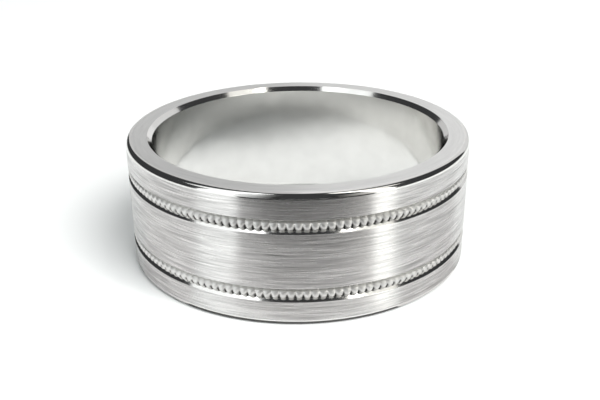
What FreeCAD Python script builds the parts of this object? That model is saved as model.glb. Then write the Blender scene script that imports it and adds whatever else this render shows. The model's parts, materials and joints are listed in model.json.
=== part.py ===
import FreeCAD, Part
import math
import os
import Sketcher

# Flat "pipe-cut" wedding band with two milgrain grooves, in millimetres.
# The origin is the centre of the band: the Z axis is the finger axis, and the band's
# two side faces lie at equal heights above and below the XY plane.
#
# The band is built up on a polished sleeve. From the bottom, the sleeve carries
# a lower edge band, a milgrain wire, the centre band, a milgrain wire and an upper edge band.
# Each groove is the space between two bands: a bright-cut facet on either band, and
# the milgrain wire's row of beads between the facets.

DIMENSIONS = [
    ("outer_diameter", 21.7, "outside of the three bands"),
    ("bore_diameter", 18.5, "inside of the sleeve, the ring size"),
    ("band_width", 8.0, "from side face to side face, along the finger"),
    ("inner_bevel", 0.28, "leg of the 45 degree bevel at each end of the bore"),
    ("edge_rounding", 0.34, "radius of the polished outer corners"),
    ("edge_band_width", 1.5, "visible width of each edge band"),
    ("groove_width", 0.84, "width of each groove at the outer surface"),
    ("facet_height", 0.17, "height of a bright-cut facet, along the finger"),
    ("facet_depth", 0.21, "depth of a bright-cut facet, from the outer surface to the wire"),
    ("bead_diameter", 0.4, "milgrain bead, round the band"),
    ("bead_height", 0.49, "milgrain bead, along the finger"),
    ("bead_count", 150, "beads in each row"),
]


def make_sheet(doc):
    """The spreadsheet of driving dimensions: name, value, meaning."""
    sheet = doc.addObject("Spreadsheet::Sheet", "Dimensions")
    for row, (alias, value, meaning) in enumerate(DIMENSIONS, start=1):
        sheet.set(f"A{row}", alias.replace("_", " "))
        sheet.set(f"B{row}", str(value))
        sheet.set(f"C{row}", meaning)
        sheet.setAlias(f"B{row}", alias)
    doc.recompute()
    return sheet


# Radii and heights that several pieces share, as expressions of the sheet's cells.
OUTER = "Dimensions.outer_diameter / 2"
BORE = "Dimensions.bore_diameter / 2"
SEAT = f"({BORE} + Dimensions.inner_bevel)"
WIRE = f"({OUTER} - Dimensions.facet_depth)"
FACE = "Dimensions.band_width / 2"
GROOVE_TOP = f"({FACE} - Dimensions.edge_band_width)"
GROOVE_BOTTOM = f"({GROOVE_TOP} - Dimensions.groove_width)"
WIRE_TOP = f"({GROOVE_TOP} - Dimensions.facet_height)"
WIRE_BOTTOM = f"({GROOVE_BOTTOM} + Dimensions.facet_height)"
WIRE_MIDDLE = f"({GROOVE_TOP} - Dimensions.groove_width / 2)"


def origin_feature(body, role):
    """One of the body's own origin planes or axes."""
    for feature in body.Origin.OriginFeatures:
        if feature.Role == role:
            return feature
    raise ValueError(f"{body.Label} has no {role}")


def new_body(doc, label):
    body = doc.addObject("PartDesign::Body", label)
    body.Label = label
    body.Placement = FreeCAD.Placement()
    return body


def new_section(body, name):
    """A sketch in the plane of radius (X) and height (Z)."""
    sketch = body.newObject("Sketcher::SketchObject", name)
    sketch.AttachmentSupport = [(origin_feature(body, "XZ_Plane"), "")]
    sketch.MapMode = "FlatFace"
    return sketch


def value_of(sheet, expression):
    """The number that an expression of the sheet's cells comes to."""
    return float(sheet.evalExpression(expression))


def pin_vertex(sheet, sketch, edge, end, corner):
    """Hold one end of an edge at a radius and a height given as expressions."""
    origin = (-1, 1)
    for kind, expression in zip(("DistanceX", "DistanceY"), corner):
        value = value_of(sheet, expression)
        if value < 0:
            # A distance is positive, so a point below the origin is measured from the point.
            constraint = Sketcher.Constraint(kind, edge, end, *origin, -value)
            expression = f"-({expression})"
        else:
            constraint = Sketcher.Constraint(kind, *origin, edge, end, value)
        index = sketch.addConstraint(constraint)
        sketch.setExpression(f"Constraints[{index}]", expression)


def draw_outline(sheet, sketch, corners):
    """A closed outline of straight lines through corners of (radius, height) expressions."""
    points = []
    for radius, height in corners:
        x = value_of(sheet, radius)
        z = value_of(sheet, height)
        points.append(FreeCAD.Vector(x, z, 0))
    following = points[1:] + points[:1]
    for start, end in zip(points, following):
        sketch.addGeometry(Part.LineSegment(start, end), False)
    for edge, corner in enumerate(corners):
        sketch.addConstraint(Sketcher.Constraint("Coincident", edge, 2, (edge + 1) % len(corners), 1))
        pin_vertex(sheet, sketch, edge, 1, corner)


def turn(body, name, section):
    """A solid of revolution of the section about the finger axis."""
    solid = body.newObject("PartDesign::Revolution", name)
    solid.Profile = section
    solid.ReferenceAxis = (section, ["V_Axis"])
    solid.Angle = 360
    section.Visibility = False
    body.Tip = solid
    return solid


def circle_edge(shape, radius, height):
    """Name of the circular edge of a given radius and height about the Z axis."""
    for number, edge in enumerate(shape.Edges, start=1):
        curve = edge.Curve
        if not isinstance(curve, Part.Circle):
            continue
        miss = max(abs(curve.Radius - radius), abs(curve.Center.z - height))
        if miss < 1e-6:
            return f"Edge{number}"
    raise ValueError(f"no circle of radius {radius} at height {height}")


def mirrored(side, height):
    """A height expression on the upper (1) or the lower (-1) side of the XY plane."""
    return height if side > 0 else f"-1 * {height}"


def make_sleeve(doc, sheet):
    """Polished sleeve: the bore, and the bevels between the bore and the side faces."""
    body = new_body(doc, "inner_sleeve")
    section = new_section(body, "SleeveSection")
    bevel_foot = f"({FACE} - Dimensions.inner_bevel)"
    corners = [
        (BORE, mirrored(-1, bevel_foot)),
        (SEAT, mirrored(-1, FACE)),
        (SEAT, FACE),
        (BORE, bevel_foot),
    ]
    draw_outline(sheet, section, corners)
    doc.recompute()
    turn(body, "SleeveTube", section)
    return body


def make_centre_band(doc, sheet):
    """Brushed middle band with a bright-cut facet along both edges."""
    body = new_body(doc, "centre_band")
    section = new_section(body, "CentreSection")
    corners = [
        (SEAT, mirrored(-1, WIRE_BOTTOM)),
        (WIRE, mirrored(-1, WIRE_BOTTOM)),
        (OUTER, mirrored(-1, GROOVE_BOTTOM)),
        (OUTER, GROOVE_BOTTOM),
        (WIRE, WIRE_BOTTOM),
        (SEAT, WIRE_BOTTOM),
    ]
    draw_outline(sheet, section, corners)
    doc.recompute()
    turn(body, "CentreRing", section)
    return body


def make_edge_band(doc, sheet, prefix, side):
    """Brushed edge band: facet on the groove side, rounded corner on the side face."""
    body = new_body(doc, f"{prefix}_edge_band")
    section = new_section(body, f"{prefix.capitalize()}EdgeSection")
    corners = [
        (SEAT, mirrored(side, WIRE_TOP)),
        (WIRE, mirrored(side, WIRE_TOP)),
        (OUTER, mirrored(side, GROOVE_TOP)),
        (OUTER, mirrored(side, FACE)),
        (SEAT, mirrored(side, FACE)),
    ]
    draw_outline(sheet, section, corners)
    doc.recompute()
    ring = turn(body, f"{prefix.capitalize()}EdgeRing", section)
    doc.recompute()

    radius = value_of(sheet, OUTER)
    height = side * value_of(sheet, FACE)
    rounding = body.newObject("PartDesign::Fillet", f"{prefix.capitalize()}EdgeRounding")
    rounding.Base = (ring, [circle_edge(ring.Shape, radius, height)])
    rounding.setExpression("Radius", "Dimensions.edge_rounding")
    body.Tip = rounding
    return body


def draw_bead(sheet, section, side):
    """Half outline of a bead, flat against the upright axis that it is turned about."""
    radius = "Dimensions.bead_diameter / 2"
    shoulder = f"(Dimensions.bead_height / 2 - {radius})"
    middle = mirrored(side, WIRE_MIDDLE)
    axis_x = value_of(sheet, WIRE)
    middle_z = value_of(sheet, middle)
    bead_r = value_of(sheet, radius)
    rise = value_of(sheet, shoulder)

    low = FreeCAD.Vector(axis_x, middle_z - rise, 0)
    high = FreeCAD.Vector(axis_x, middle_z + rise, 0)
    out = FreeCAD.Vector(bead_r, 0, 0)
    up = FreeCAD.Vector(0, bead_r, 0)
    normal = FreeCAD.Vector(0, 0, 1)
    quarter = math.pi / 2
    spine, cheek, lower_cap, upper_cap = section.addGeometry([
        Part.LineSegment(high + up, low - up),
        Part.LineSegment(low + out, high + out),
        Part.ArcOfCircle(Part.Circle(low, normal, bead_r), -quarter, 0),
        Part.ArcOfCircle(Part.Circle(high, normal, bead_r), 0, quarter),
    ], False)
    joins = [
        ("Coincident", spine, 2, lower_cap, 1),
        ("Tangent", lower_cap, 2, cheek, 1),
        ("Tangent", cheek, 2, upper_cap, 1),
        ("Coincident", upper_cap, 2, spine, 1),
        ("PointOnObject", lower_cap, 3, spine),
        ("PointOnObject", upper_cap, 3, spine),
        ("Vertical", spine),
    ]
    for join in joins:
        section.addConstraint(Sketcher.Constraint(*join))
    pin_vertex(sheet, section, lower_cap, 3, (WIRE, f"({middle} - {shoulder})"))
    sizes = [
        (Sketcher.Constraint("Radius", lower_cap, bead_r), radius),
        (Sketcher.Constraint("DistanceY", lower_cap, 3, upper_cap, 3, 2 * rise), f"2 * {shoulder}"),
    ]
    for constraint, expression in sizes:
        index = section.addConstraint(constraint)
        section.setExpression(f"Constraints[{index}]", expression)
    return f"Edge{spine + 1}"


def make_milgrain_ring(doc, sheet, prefix, side):
    """Flat wire ring set between two bands, with a row of beads round its outside."""
    body = new_body(doc, f"{prefix}_milgrain_ring")
    section = new_section(body, f"{prefix.capitalize()}WireSection")
    corners = [
        (SEAT, mirrored(side, WIRE_BOTTOM)),
        (WIRE, mirrored(side, WIRE_BOTTOM)),
        (WIRE, mirrored(side, WIRE_TOP)),
        (SEAT, mirrored(side, WIRE_TOP)),
    ]
    draw_outline(sheet, section, corners)
    doc.recompute()
    turn(body, f"{prefix.capitalize()}Wire", section)

    bead_section = new_section(body, f"{prefix.capitalize()}BeadSection")
    spine = draw_bead(sheet, bead_section, side)
    doc.recompute()
    bead = body.newObject("PartDesign::Revolution", f"{prefix.capitalize()}Bead")
    bead.Profile = bead_section
    bead.ReferenceAxis = (bead_section, [spine])
    bead.Angle = 360
    bead_section.Visibility = False
    doc.recompute()

    row = body.newObject("PartDesign::PolarPattern", f"{prefix.capitalize()}BeadRow")
    row.Originals = [bead]
    row.Axis = (origin_feature(body, "Z_Axis"), [""])
    row.Angle = 360
    row.setExpression("Occurrences", "Dimensions.bead_count")
    row.Refine = False
    body.Tip = row
    return body


def check_document(doc, bodies):
    """Stop if a feature failed or a body's shape isn't one valid solid."""
    for item in doc.Objects:
        if "Invalid" in item.State or "Error" in item.State:
            raise RuntimeError(f"{item.Name} failed: {item.State}")
    for body in bodies:
        shape = body.Shape
        if shape.isNull() or not shape.isValid() or len(shape.Solids) != 1:
            raise RuntimeError(f"{body.Label} is not one valid solid")
        print(f"{body.Label}: {shape.Volume:.3f} mm3, {len(shape.Faces)} faces")


def main():
    doc = FreeCAD.newDocument("wedding_band")
    sheet = make_sheet(doc)
    bodies = [
        make_sleeve(doc, sheet),
        make_centre_band(doc, sheet),
    ]
    for prefix, side in (("upper", 1), ("lower", -1)):
        bodies.append(make_edge_band(doc, sheet, prefix, side))
        bodies.append(make_milgrain_ring(doc, sheet, prefix, side))
    doc.recompute()
    check_document(doc, bodies)
    os.makedirs("parts", exist_ok=True)
    for body in bodies:
        body.Shape.exportStep(f"parts/{body.Label}.step")


main()
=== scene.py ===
import cmath
import json
import math

import bpy
from mathutils import Matrix, Vector


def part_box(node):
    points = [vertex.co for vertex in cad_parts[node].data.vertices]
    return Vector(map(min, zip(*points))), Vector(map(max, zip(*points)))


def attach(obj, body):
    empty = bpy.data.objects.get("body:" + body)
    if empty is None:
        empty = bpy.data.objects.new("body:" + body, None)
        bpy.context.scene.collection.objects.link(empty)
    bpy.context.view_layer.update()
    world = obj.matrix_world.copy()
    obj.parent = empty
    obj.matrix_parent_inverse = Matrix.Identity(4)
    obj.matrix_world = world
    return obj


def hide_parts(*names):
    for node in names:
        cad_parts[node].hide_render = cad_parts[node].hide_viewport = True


# A flat wedding band with two milgrain grooves, lying on its lower side face.
# Lengths are in metres. The origin is the centre of the band and Z is the finger axis.
# Each turned piece is a finely divided ring with real edge rounding; each milgrain wire
# is a ring whose outside swells into beads.

MM = 0.001

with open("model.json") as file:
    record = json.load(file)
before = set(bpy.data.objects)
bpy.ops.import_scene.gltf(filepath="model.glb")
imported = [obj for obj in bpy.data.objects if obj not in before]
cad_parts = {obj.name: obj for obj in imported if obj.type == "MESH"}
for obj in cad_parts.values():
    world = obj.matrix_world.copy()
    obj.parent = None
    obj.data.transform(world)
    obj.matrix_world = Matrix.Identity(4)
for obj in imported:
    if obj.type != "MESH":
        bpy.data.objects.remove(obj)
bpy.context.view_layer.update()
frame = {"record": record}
record = frame["record"]

# Sizes read from the frame.
bore_mount = next(m for m in record["mounts"] if m["name"] == "finger_bore")
BORE_R = bore_mount["dims"]["r_mm"] * MM
BORE_STRAIGHT = bore_mount["dims"]["length_mm"] * MM
SEAT_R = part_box("inner_sleeve")[1].x
FACE_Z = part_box("inner_sleeve")[1].z
OUTER_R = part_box("centre_band")[1].x
WIRE_TOP_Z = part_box("upper_milgrain_ring")[1].z
WIRE_LOW_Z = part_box("upper_milgrain_ring")[0].z
WIRE_MIDDLE_Z = (WIRE_TOP_Z + WIRE_LOW_Z) / 2
WIRE_HALF = (WIRE_TOP_Z - WIRE_LOW_Z) / 2

# Sizes of the groove and edge details, which the boxes don't show.
FACET_HEIGHT = 0.17 * MM
FACET_DEPTH = 0.21 * MM
WIRE_R = OUTER_R - FACET_DEPTH
EDGE_ROUNDING = 0.34 * MM
EDGE_BREAK = 0.016 * MM

# The milgrain beads. A pair of numbers is for the lower and the upper side of a bead.
# At a notch between two beads the rise falls to about the waist's share of its full size,
# and the half height to the neck's share. The fall sets how steeply the rise drops to the
# notch, and the shoulder how square a bead is in profile.
BEAD_COUNT = 150
BEAD_RISE = 0.2 * MM
BEAD_HALF_HEIGHT = 0.245 * MM
BEAD_WAIST = (0.1, 0.85)
BEAD_NECK = (0.6, 0.9)
BEAD_FALL = (0.6, 0.5)
BEAD_SHOULDER = 0.8

# How finely the meshes are divided.
SEGMENTS = 600
ARC_STEPS = 6
BEAD_STEPS = 14
BEAD_ARC_STEPS = 14
WIRE_CREASE = math.radians(40)


# ---------------------------------------------------------------- node helpers

def new_material(name):
    """A material with its node tree and its Principled shader."""
    material = bpy.data.materials.new(name)
    material.use_nodes = True
    tree = material.node_tree
    shader = next(n for n in tree.nodes if n.type == "BSDF_PRINCIPLED")
    return material, tree, shader


def add_node(tree, kind, inputs=None, **settings):
    """Adds a node, sets its properties and sockets, and links sockets given as outputs."""
    node = tree.nodes.new(kind)
    for key, value in settings.items():
        setattr(node, key, value)
    for key, value in (inputs or {}).items():
        if isinstance(value, bpy.types.NodeSocket):
            tree.links.new(value, node.inputs[key])
        else:
            node.inputs[key].default_value = value
    return node


def maths(tree, operation, *values):
    """A Math node's output, from numbers or outputs."""
    return add_node(tree, "ShaderNodeMath", dict(enumerate(values)), operation=operation).outputs[0]


def vector_maths(tree, operation, inputs, output="Vector"):
    """A Vector Math node's output."""
    return add_node(tree, "ShaderNodeVectorMath", inputs, operation=operation).outputs[output]


def split(tree, vector):
    """The three parts of a vector."""
    return add_node(tree, "ShaderNodeSeparateXYZ", {0: vector}).outputs


def surface_place(tree):
    """A surface point's place in the band's frame."""
    return add_node(tree, "ShaderNodeTexCoord").outputs["Object"]


def off_axis(tree, place):
    """The part of a place that is square to the finger axis."""
    return vector_maths(tree, "MULTIPLY", {0: place, 1: (1.0, 1.0, 0.0)})


def noise(tree, place, scale, detail, roughness=0.5):
    """Noise from 0 to 1."""
    inputs = {"Vector": place, "Scale": scale, "Detail": detail, "Roughness": roughness}
    return add_node(tree, "ShaderNodeTexNoise", inputs).outputs[0]


def remap(tree, value, low, high, to_low, to_high):
    """Value from one range to another, clamped."""
    inputs = {"Value": value, "From Min": low, "From Max": high, "To Min": to_low, "To Max": to_high}
    return add_node(tree, "ShaderNodeMapRange", inputs).outputs[0]


def tinted(tree, shade, colour):
    """A colour multiplied by a shade."""
    return vector_maths(tree, "SCALE", {0: colour, "Scale": shade})


def bumped(tree, height, strength, depth):
    """A surface normal bent by a height pattern of a given depth."""
    inputs = {"Strength": strength, "Distance": depth, "Height": height}
    return add_node(tree, "ShaderNodeBump", inputs).outputs[0]


# Lathe marks run over the profile by height plus a share of the radius, so that they
# cross the flat side faces too, and they wander a little on their way round.
RADIUS_SHARE = 0.37
WANDER = 0.15 * MM
WANDER_SCALE = 2.3


def turned_coordinates(tree, along, across):
    """Coordinates that follow lathe marks: slow round the band, fast over its profile.

    along and across are in cycles per millimetre."""
    place = surface_place(tree)
    flat = off_axis(tree, place)
    heading = vector_maths(tree, "NORMALIZE", {0: flat})
    ring = vector_maths(tree, "SCALE", {0: heading, "Scale": OUTER_R / MM * along})
    ring_x, ring_y, _ = split(tree, ring)
    radius = vector_maths(tree, "LENGTH", {0: flat}, "Value")
    profile = maths(tree, "MULTIPLY_ADD", radius, RADIUS_SHARE, split(tree, place)[2])
    wander = noise(tree, heading, WANDER_SCALE, detail=1.0)
    profile = maths(tree, "MULTIPLY_ADD", wander, WANDER, profile)
    profile = maths(tree, "MULTIPLY", profile, across / MM)
    return add_node(tree, "ShaderNodeCombineXYZ", {0: ring_x, 1: ring_y, 2: profile}).outputs[0]


def streaks(tree, along, across, detail=2.0, roughness=0.5):
    """Noise drawn out round the band, from 0 to 1."""
    return noise(tree, turned_coordinates(tree, along, across), 1.0, detail, roughness)


def mottle(tree, scale, detail=2.0):
    """Even noise over the surface, from 0 to 1; scale is in cycles per millimetre."""
    return noise(tree, surface_place(tree), scale / MM, detail)


# ---------------------------------------------------------------- materials

WHITE_GOLD = (0.80, 0.795, 0.78)
BRUSHED_GOLD = (0.67, 0.66, 0.655)
SATIN_GOLD = (0.76, 0.76, 0.75)

# Most values of a noise lie in this span.
NOISE_SPAN = (0.3, 0.7)

# How much each kind of scratch adds to the shade of brushed metal, which stays in range.
FINE_SHARE = 0.8
MIDDLE_SHARE = 1.1
BROAD_SHARE = 0.3
BRIGHT_SHARE = 0.3
DARK_SHARE = -0.25
SHADE_RANGE = (0.3, 1.45)
# The spans of the rare noise over which single bright and dark scratches come up.
BRIGHT_SPAN = (0.68, 0.76)
DARK_SPAN = (0.32, 0.25)
# Scratches vary the roughness and stand in low relief. The shader draws highlights out
# along its tangent, which runs round the band, so a quarter turn lays them across.
BRUSH_SWING = 0.05
SCRATCH_DEPTH = 0.006 * MM
MIDDLE_RELIEF = 1.5
QUARTER_TURN = 0.25

# The polish varies in shade and roughness.
HAZE_SHADE = (0.96, 1.02)
POLISH_SWING = 0.05

# Painted shade in the lower pits between the beads, where shade falls: its strength, the distances
# out from the wire between which it clears, the heights from the middle of the row between which
# it sets in on the lower side, and the values of a wave, 1 at each notch, between which a notch
# begins.
PIT_SHADE_STRENGTH = 0.9
PIT_SHADE_DEPTHS = (0.05 * MM, 0.18 * MM)
PIT_SHADE_HEIGHTS = (0.02 * MM, -0.06 * MM)
NOTCH_SPAN = (-0.1, 0.6)


def brushed_material(name, colour, coarse, spread, grain):
    """Satin metal scratched round the band; its highlights are drawn out across the scratches."""
    material, tree, shader = new_material(name)
    fine = streaks(tree, along=0.5, across=20.0, detail=3.0, roughness=0.6)
    middle = streaks(tree, along=0.3, across=9.0, detail=2.0, roughness=0.6)
    broad = streaks(tree, along=0.12, across=2.2, detail=1.0)
    rare = streaks(tree, along=0.3, across=6.0, detail=1.0)
    bright = remap(tree, rare, *BRIGHT_SPAN, 0.0, 1.0)
    dark = remap(tree, rare, *DARK_SPAN, 0.0, 1.0)
    # The first three noises are about a half on average, which this takes off again.
    shade = 1.0 - grain * (FINE_SHARE + MIDDLE_SHARE + BROAD_SHARE) / 2
    layers = (
        (fine, FINE_SHARE),
        (middle, MIDDLE_SHARE),
        (broad, BROAD_SHARE),
        (bright, BRIGHT_SHARE),
        (dark, DARK_SHARE),
    )
    for layer, share in layers:
        shade = maths(tree, "MULTIPLY_ADD", layer, share * grain, shade)
    shade = remap(tree, shade, *SHADE_RANGE, *SHADE_RANGE)
    tree.links.new(tinted(tree, shade, colour), shader.inputs["Base Color"])
    rough = remap(tree, fine, *NOISE_SPAN, coarse + BRUSH_SWING, coarse - BRUSH_SWING)
    tree.links.new(rough, shader.inputs["Roughness"])
    shader.inputs["Metallic"].default_value = 1.0
    shader.inputs["Anisotropic"].default_value = spread
    shader.inputs["Anisotropic Rotation"].default_value = QUARTER_TURN
    tangent = add_node(tree, "ShaderNodeTangent", direction_type="RADIAL", axis="Z").outputs[0]
    tree.links.new(tangent, shader.inputs["Tangent"])
    height = maths(tree, "MULTIPLY_ADD", middle, MIDDLE_RELIEF, fine)
    normal = bumped(tree, height, strength=0.5, depth=SCRATCH_DEPTH * grain)
    tree.links.new(normal, shader.inputs["Normal"])
    return material


def pit_shade(tree, middle):
    """A painted shade that darkens the lower pits between the beads of a row whose middle is at a
    height.
    """
    place = surface_place(tree)
    x, y, z = split(tree, place)
    wave = maths(tree, "COSINE", maths(tree, "MULTIPLY", maths(tree, "ARCTAN2", y, x), BEAD_COUNT))
    notch = remap(tree, wave, *NOTCH_SPAN, 0.0, 1.0)
    radius = vector_maths(tree, "LENGTH", {0: off_axis(tree, place)}, "Value")
    depth = remap(tree, radius, WIRE_R + PIT_SHADE_DEPTHS[0], WIRE_R + PIT_SHADE_DEPTHS[1], PIT_SHADE_STRENGTH, 0.0)
    under = remap(tree, z, middle + PIT_SHADE_HEIGHTS[0], middle + PIT_SHADE_HEIGHTS[1], 0.0, 1.0)
    # Painted shade, strongest deep in the lower notches between the beads.
    painted_shade = maths(tree, "MULTIPLY", notch, maths(tree, "MULTIPLY", depth, under))
    return maths(tree, "SUBTRACT", 1.0, painted_shade)


def polished_material(name, rough, waviness, beads_at=None):
    """Polished metal with faint wheel marks and a slow waviness, in millimetres.

    beads_at is the height of the middle of a row of beads, for metal with painted shade in its lower
    pits."""
    material, tree, shader = new_material(name)
    marks = streaks(tree, along=0.25, across=14.0)
    shade = remap(tree, mottle(tree, scale=0.9), *NOISE_SPAN, *HAZE_SHADE)
    if beads_at is not None:
        shade = maths(tree, "MULTIPLY", shade, pit_shade(tree, beads_at))
    tree.links.new(tinted(tree, shade, WHITE_GOLD), shader.inputs["Base Color"])
    blend = maths(tree, "MULTIPLY_ADD", marks, POLISH_SWING, rough - POLISH_SWING / 2)
    tree.links.new(blend, shader.inputs["Roughness"])
    shader.inputs["Metallic"].default_value = 1.0
    slow = mottle(tree, scale=0.5, detail=1.0)
    normal = bumped(tree, slow, strength=0.4, depth=waviness * MM)
    tree.links.new(normal, shader.inputs["Normal"])
    return material


BRUSHED = brushed_material("brushed_white_gold", BRUSHED_GOLD, coarse=0.29, spread=1.0, grain=1.0)
SATIN = brushed_material("satin_side_face", SATIN_GOLD, coarse=0.34, spread=0.5, grain=0.18)
POLISHED = polished_material("polished_white_gold", rough=0.1, waviness=0.01)
BORE = polished_material("polished_bore", rough=0.13, waviness=0.03)


# ---------------------------------------------------------------- turned pieces
# An outline lies in the plane of radius and height, and a point of it is the complex
# number radius + height * 1j. Corners run anticlockwise, so outwards is to the right.

def unit(vector):
    """The complex number of length 1 with the same direction."""
    return vector / abs(vector)


def corner_rows(before, corner, after, rounding):
    """The round that replaces a corner: a list of (point, outward normal)."""
    into = unit(corner - before)
    turn = cmath.phase(unit(after - corner) / into)
    if not rounding:
        return [(corner, -1j * into), (corner, -1j * into * cmath.exp(1j * turn))]
    start = corner - into * rounding * math.tan(abs(turn) / 2)
    centre = start + 1j * into * math.copysign(rounding, turn)
    rows = []
    for step in range(ARC_STEPS + 1):
        spin = cmath.exp(1j * turn * step / ARC_STEPS)
        rows.append((centre + (start - centre) * spin, -1j * into * spin))
    return rows


def turned_piece(name, corners, materials):
    """A ring of (point, rounding, material of the round, material of the run after it)."""
    total = len(corners)
    rounds = []
    for i, (corner, rounding, _, _) in enumerate(corners):
        rounds.append(corner_rows(corners[i - 1][0], corner, corners[(i + 1) % total][0], rounding))
    strips = []
    for i, (_, rounding, round_material, run_material) in enumerate(corners):
        if rounding:
            strips += [(a, b, round_material) for a, b in zip(rounds[i], rounds[i][1:])]
        strips.append((rounds[i][-1], rounds[(i + 1) % total][0], run_material))
    return lathe(name, strips, materials)


def on_circle(radius, height, angle):
    """The place at a radius, a height and an angle round the finger axis."""
    return (radius * math.cos(angle), radius * math.sin(angle), height)


def ring_faces(segments, count):
    """The four-cornered faces of a closed ring whose rows of count points are closed too."""
    faces = []
    for segment in range(segments):
        here = segment * count
        there = (segment + 1) % segments * count
        for index in range(count):
            following = (index + 1) % count
            faces.append((here + index, there + index, there + following, here + following))
    return faces


def lathe(name, strips, materials):
    """Sweeps strips of (start, end, material), with (point, normal) ends, round the Z axis."""
    vertices = []
    normals = []
    for segment in range(SEGMENTS):
        angle = math.tau * segment / SEGMENTS
        for (point, _), _, _ in strips:
            vertices.append(on_circle(point.real, point.imag, angle))
        # A face's corners lie on this segment, the next one twice, and this one again.
        angles = [math.tau * (segment + step) / SEGMENTS for step in (0, 1, 1, 0)]
        for (_, first), (_, second), _ in strips:
            for normal, angle in zip((first, first, second, second), angles):
                normals.append(on_circle(normal.real, normal.imag, angle))
    piece = new_piece(name, vertices, ring_faces(SEGMENTS, len(strips)), materials)
    slots = [slot for _, _, slot in strips] * SEGMENTS
    piece.data.polygons.foreach_set("material_index", slots)
    piece.data.normals_split_custom_set(normals)
    return piece


def new_piece(name, vertices, faces, materials):
    """A smooth-shaded mesh object."""
    mesh = bpy.data.meshes.new(name)
    mesh.from_pydata(vertices, [], faces)
    mesh.polygons.foreach_set("use_smooth", [True] * len(faces))
    for material in materials:
        mesh.materials.append(material)
    mesh.update()
    piece = bpy.data.objects.new(name, mesh)
    bpy.context.scene.collection.objects.link(piece)
    return piece


def mirrored(corners):
    """The same corners on the other side of the middle plane, anticlockwise again."""
    result = []
    for i, (corner, rounding, round_material, _) in enumerate(corners):
        result.append((corner.conjugate(), rounding, round_material, corners[i - 1][3]))
    return result[::-1]


# ---------------------------------------------------------------- milgrain

def pinched(share, across):
    """Falls from 1 at an across of 0 to the square of a share at -1 and 1."""
    return 1 - (1 - share ** 2) * across ** 2


def bead_outline(across):
    """The wire's outline, with a bead cut at across: 0 is its middle, -1 and 1 its notches."""
    outline = [(SEAT_R, -WIRE_HALF), (WIRE_R, -WIRE_HALF)]
    for arc in range(BEAD_ARC_STEPS + 1):
        tilt = math.pi * (arc / BEAD_ARC_STEPS - 0.5)
        upper = (1 + math.sin(tilt)) / 2
        waist = BEAD_WAIST[0] + (BEAD_WAIST[1] - BEAD_WAIST[0]) * upper
        fall = BEAD_FALL[0] + (BEAD_FALL[1] - BEAD_FALL[0]) * upper
        neck = BEAD_NECK[1] if tilt > 0 else BEAD_NECK[0]
        rise = BEAD_RISE * pinched(waist, across) ** fall
        swell = BEAD_HALF_HEIGHT * math.sqrt(pinched(neck, across))
        shoulder = abs(math.cos(tilt)) ** BEAD_SHOULDER
        outline.append((WIRE_R + rise * shoulder, swell * math.sin(tilt)))
    return outline + [(WIRE_R, WIRE_HALF), (SEAT_R, WIRE_HALF)]


def milgrain_ring(name, middle):
    """A flat wire ring whose outside swells into beads, notched deeper on the lower side."""
    steps = BEAD_COUNT * BEAD_STEPS
    vertices = []
    for step in range(steps):
        across = math.sin(math.pi * (step % BEAD_STEPS / BEAD_STEPS - 0.5))
        angle = math.tau / BEAD_COUNT * (step // BEAD_STEPS + 0.5 + across / 2)
        outline = bead_outline(across)
        for radius, height in outline:
            vertices.append(on_circle(radius, middle + height, angle))
    beads = polished_material(name + "_beads", rough=0.52, waviness=0.005, beads_at=middle)
    piece = new_piece(name, vertices, ring_faces(steps, len(outline)), [beads])
    piece.data.set_sharp_from_angle(angle=WIRE_CREASE)
    return piece


# ---------------------------------------------------------------- the band

# Material numbers of the turned bands and of the sleeve.
SIDE, TOP, BRIGHT = 0, 1, 2
WALL, BEVEL = 0, 1

FACET_TOP_Z = WIRE_TOP_Z + FACET_HEIGHT
FACET_LOW_Z = WIRE_LOW_Z - FACET_HEIGHT
BEVEL_FOOT_Z = BORE_STRAIGHT / 2

edge_corners = [
    (SEAT_R + WIRE_TOP_Z * 1j, 0, BRIGHT, BRIGHT),
    (WIRE_R + WIRE_TOP_Z * 1j, 0, BRIGHT, BRIGHT),
    (OUTER_R + FACET_TOP_Z * 1j, EDGE_BREAK, BRIGHT, SIDE),
    (OUTER_R + FACE_Z * 1j, EDGE_ROUNDING, BRIGHT, TOP),
    (SEAT_R + FACE_Z * 1j, 0, BRIGHT, BRIGHT),
]
centre_corners = [
    (SEAT_R - WIRE_LOW_Z * 1j, 0, BRIGHT, BRIGHT),
    (WIRE_R - WIRE_LOW_Z * 1j, 0, BRIGHT, BRIGHT),
    (OUTER_R - FACET_LOW_Z * 1j, EDGE_BREAK, BRIGHT, SIDE),
    (OUTER_R + FACET_LOW_Z * 1j, EDGE_BREAK, BRIGHT, BRIGHT),
    (WIRE_R + WIRE_LOW_Z * 1j, 0, BRIGHT, BRIGHT),
    (SEAT_R + WIRE_LOW_Z * 1j, 0, BRIGHT, BRIGHT),
]
sleeve_corners = [
    (BORE_R - BEVEL_FOOT_Z * 1j, EDGE_BREAK, WALL, BEVEL),
    (SEAT_R - FACE_Z * 1j, 0, BEVEL, BEVEL),
    (SEAT_R + FACE_Z * 1j, 0, BEVEL, BEVEL),
    (BORE_R + BEVEL_FOOT_Z * 1j, EDGE_BREAK, WALL, WALL),
]

band_materials = [BRUSHED, SATIN, POLISHED]
pieces = {
    "inner_sleeve": turned_piece("polished_sleeve", sleeve_corners, [BORE, POLISHED]),
    "centre_band": turned_piece("brushed_centre_band", centre_corners, band_materials),
    "upper_edge_band": turned_piece("brushed_upper_edge", edge_corners, band_materials),
    "lower_edge_band": turned_piece("brushed_lower_edge", mirrored(edge_corners), band_materials),
    "upper_milgrain_ring": milgrain_ring("upper_milgrain", WIRE_MIDDLE_Z),
    "lower_milgrain_ring": milgrain_ring("lower_milgrain", -WIRE_MIDDLE_Z),
}
for entry in record["subparts"]:
    piece = pieces[entry["node"]]
    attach(piece, "root")
    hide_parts(entry["node"])


# ---------------------------------------------------------------- floor and cards

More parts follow.
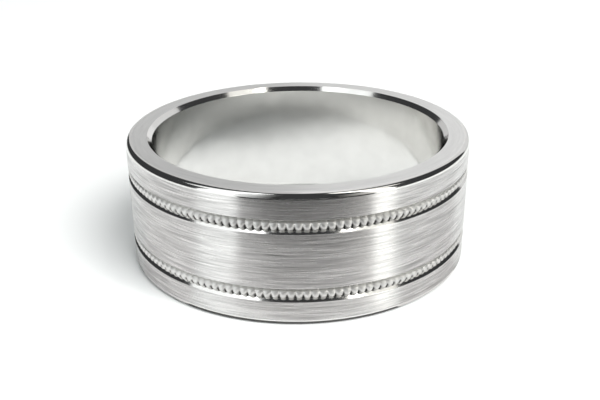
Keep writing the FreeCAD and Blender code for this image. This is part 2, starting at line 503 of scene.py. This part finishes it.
FLOOR_HALF = 1.5
FLOOR_COLOUR = (0.955, 0.98, 0.975)
CARD_LIFT = 0.1 * MM
CONTACT_LIFT = 0.01 * MM
CONTACT_WIDTH = 0.15 * MM
CONTACT_STEPS = 120
SQUARE = [(0, 1, 2, 3)]


def staged(name, vertices, faces, material, seen=False):
    """A studio surface; unless seen, the camera looks through it and it casts no shadow."""
    surface = new_piece(name, vertices, faces, [material])
    surface.visible_camera = seen
    surface.visible_shadow = seen
    return surface


def matt_material(name, colour, rough, specular=0.5):
    """A plain studio surface."""
    material, _, shader = new_material(name)
    shader.inputs["Base Color"].default_value = (*colour, 1.0)
    shader.inputs["Roughness"].default_value = rough
    shader.inputs["Specular IOR Level"].default_value = specular
    return material


def floor():
    """A pale floor under the band."""
    corners = [(-1, -1), (1, -1), (1, 1), (-1, 1)]
    vertices = [(x * FLOOR_HALF, y * FLOOR_HALF, -FACE_Z) for x, y in corners]
    material = matt_material("pale_floor", FLOOR_COLOUR, rough=0.8, specular=0.1)
    staged("floor", vertices, SQUARE, material, seen=True)


def card(name, vertices, faces, shade):
    """A matt card just over the floor that only the metal sees."""
    material = matt_material(name, (shade, shade, shade), rough=0.9)
    staged(name, vertices, faces, material).visible_diffuse = False


def flat_card(name, corners, shade):
    """A four-cornered card; corners are in millimetres."""
    height = -FACE_Z + CARD_LIFT
    card(name, [(x * MM, y * MM, height) for x, y in corners], SQUARE, shade)


def painted_contact_shadow():
    """A painted contact shadow: a dark ring on the floor, under the lower rounded corner and a little
    outside it.
    """
    vertices = []
    for radius in (OUTER_R - EDGE_ROUNDING, OUTER_R + CONTACT_WIDTH):
        for step in range(CONTACT_STEPS):
            vertices.append(on_circle(radius, -FACE_Z + CONTACT_LIFT, math.tau * step / CONTACT_STEPS))
    faces = []
    for here in range(CONTACT_STEPS):
        there = (here + 1) % CONTACT_STEPS
        faces.append((here, there, there + CONTACT_STEPS, here + CONTACT_STEPS))
    card("painted_contact_shadow", vertices, faces, 0.12)


floor()
# Painted shade on the floor in reflections: the grey card in front and the two side cards are darker
# than the lit floor the camera sees there.
flat_card("grey_card", [(-6, -11.1), (6, -11.1), (15, -20), (-11, -20)], 0.78)
flat_card("right_card", [(5.7, -9.2), (23, -15), (26, 6), (9.4, -5)], 0.76)
flat_card("left_card", [(-9.4, -5), (-26, 6), (-23, -15), (-6.5, -8.7)], 0.87)
flat_card("black_card", [(-11, -20), (15, -20), (282, -250), (-227, -300)], 0.02)
painted_contact_shadow()


# ---------------------------------------------------------------- light

WHITE = (1.0, 1.0, 1.0)
COOL = (0.98, 1.0, 1.0)
WARM = (1.0, 0.99, 0.94)

PANEL_DISTANCE = 0.35
PANEL_STEPS = 10
FADE_STRIPS = 6
FADE_POWER = 1.5

FILL_COLOUR = (1.0, 0.985, 0.985)
FILL_ENERGY = 7.7
FILL_SIZE = 0.6
FILL_TURN = 40
FILL_RISE = 50
FILL_DISTANCE = 0.9

WORLD_COLOUR = (0.045, 0.046, 0.048)


def emitter(name, strength, colour):
    """A material that only gives light."""
    material = bpy.data.materials.new(name)
    material.use_nodes = True
    tree = material.node_tree
    tree.nodes.clear()
    glow = add_node(tree, "ShaderNodeEmission", {"Color": (*colour, 1.0), "Strength": strength})
    add_node(tree, "ShaderNodeOutputMaterial", {"Surface": glow.outputs[0]})
    return material


def direction(turn, rise):
    """Unit vector; a turn of 0 is towards the camera and 90 is to its right, a rise of 90 is up."""
    turn = math.radians(turn)
    rise = math.radians(rise)
    return Vector((math.cos(rise) * math.sin(turn), -math.cos(rise) * math.cos(turn), math.sin(rise)))


def softbox(name, levels, strength, colour=WHITE):
    """A glowing panel seen from the band; levels are (rise, first turn, last turn) in degrees."""
    vertices = []
    for rise, first, last in levels:
        for step in range(PANEL_STEPS + 1):
            turn = first + (last - first) * step / PANEL_STEPS
            vertices.append(direction(turn, rise) * PANEL_DISTANCE)
    faces = []
    for level in range(len(levels) - 1):
        for step in range(PANEL_STEPS):
            here = level * (PANEL_STEPS + 1) + step
            above = here + PANEL_STEPS + 1
            faces.append((here, here + 1, above + 1, above))
    staged(name, vertices, faces, emitter(name, strength, colour))


def fading_edge(name, rises, first, last, strength, colour):
    """Strips from a softbox's edge at the first turn that dim away to the last turn."""
    for index in range(FADE_STRIPS):
        near = first + (last - first) * index / FADE_STRIPS
        far = first + (last - first) * (index + 1) / FADE_STRIPS
        level = strength * (1 - (index + 0.5) / FADE_STRIPS) ** FADE_POWER
        softbox("%s_%d" % (name, index), [(rise, near, far) for rise in rises], level, colour)


def fill_light():
    """A round lamp, high and to the camera's right, that the metal doesn't reflect."""
    lamp = bpy.data.lights.new("fill", "AREA")
    lamp.shape = "DISK"
    lamp.size = FILL_SIZE
    lamp.energy = FILL_ENERGY
    lamp.color = FILL_COLOUR
    fill = bpy.data.objects.new("fill", lamp)
    bpy.context.scene.collection.objects.link(fill)
    towards = direction(FILL_TURN, FILL_RISE)
    fill.location = towards * FILL_DISTANCE
    fill.rotation_euler = towards.to_track_quat("Z", "Y").to_euler()
    fill.visible_glossy = False
    fill.visible_camera = False


def studio_world():
    """A dark surround."""
    world = bpy.data.worlds.new("studio")
    bpy.context.scene.world = world
    world.use_nodes = True
    background = next(n for n in world.node_tree.nodes if n.type == "BACKGROUND")
    background.inputs["Color"].default_value = (*WORLD_COLOUR, 1.0)
    background.inputs["Strength"].default_value = 1.0


left_levels = [(-5, -64, -38), (20, -64, -40), (36, -64, -42), (50, -64, -43), (78, -75, -44)]
softbox("left_softbox", left_levels, 2.0, COOL)
softbox("left_wing", [(42, -92, -64), (55, -97, -64), (78, -105, -75)], 1.25, COOL)
fading_edge("left_fade", (-5, 60), -40, -12, 1.2, COOL)
right_levels = [(-5, 46, 60), (20, 47, 61), (32, 49, 62), (45, 51, 61), (78, 58, 70)]
softbox("right_softbox", right_levels, 4.5, WARM)
softbox("right_wing", [(45, 61, 84), (55, 61, 92), (78, 70, 98)], 1.15, WARM)
fading_edge("right_fade", (-5, 35), 48, 20, 0.9, WARM)
back_walls = (
    ("back_wall", 158, 180, 0.9),
    ("back_wall_right", 132, 158, 0.8),
    ("back_wall_left", 180, 206, 0.65),
)
for name, first, last, strength in back_walls:
    softbox(name, [(2, first, last), (75, first, last)], strength)
fill_light()
studio_world()


# ---------------------------------------------------------------- camera

CAMERA_BACK = 50.9 * MM
CAMERA_UP = 21.3 * MM
CAMERA_PITCH = math.radians(23.73)
CAMERA_YAW = math.radians(0.12)
CAMERA_ROLL = math.radians(-0.5)
LENS = 50.2
SENSOR_WIDTH = 36.0

camera_data = bpy.data.cameras.new("camera")
camera_data.lens = LENS
camera_data.sensor_width = SENSOR_WIDTH
camera_data.clip_start = 0.001
camera_data.clip_end = 10.0
camera = bpy.data.objects.new("camera", camera_data)
bpy.context.scene.collection.objects.link(camera)
camera.matrix_world = (
    Matrix.Translation((0.0, -CAMERA_BACK, CAMERA_UP))
    @ Matrix.Rotation(-CAMERA_YAW, 4, "Z")
    @ Matrix.Rotation(math.pi / 2 - CAMERA_PITCH, 4, "X")
    @ Matrix.Rotation(CAMERA_ROLL, 4, "Z")
)
bpy.context.scene.camera = camera
bpy.context.scene.view_settings.view_transform = "Standard"
bpy.context.scene.view_settings.look = "None"
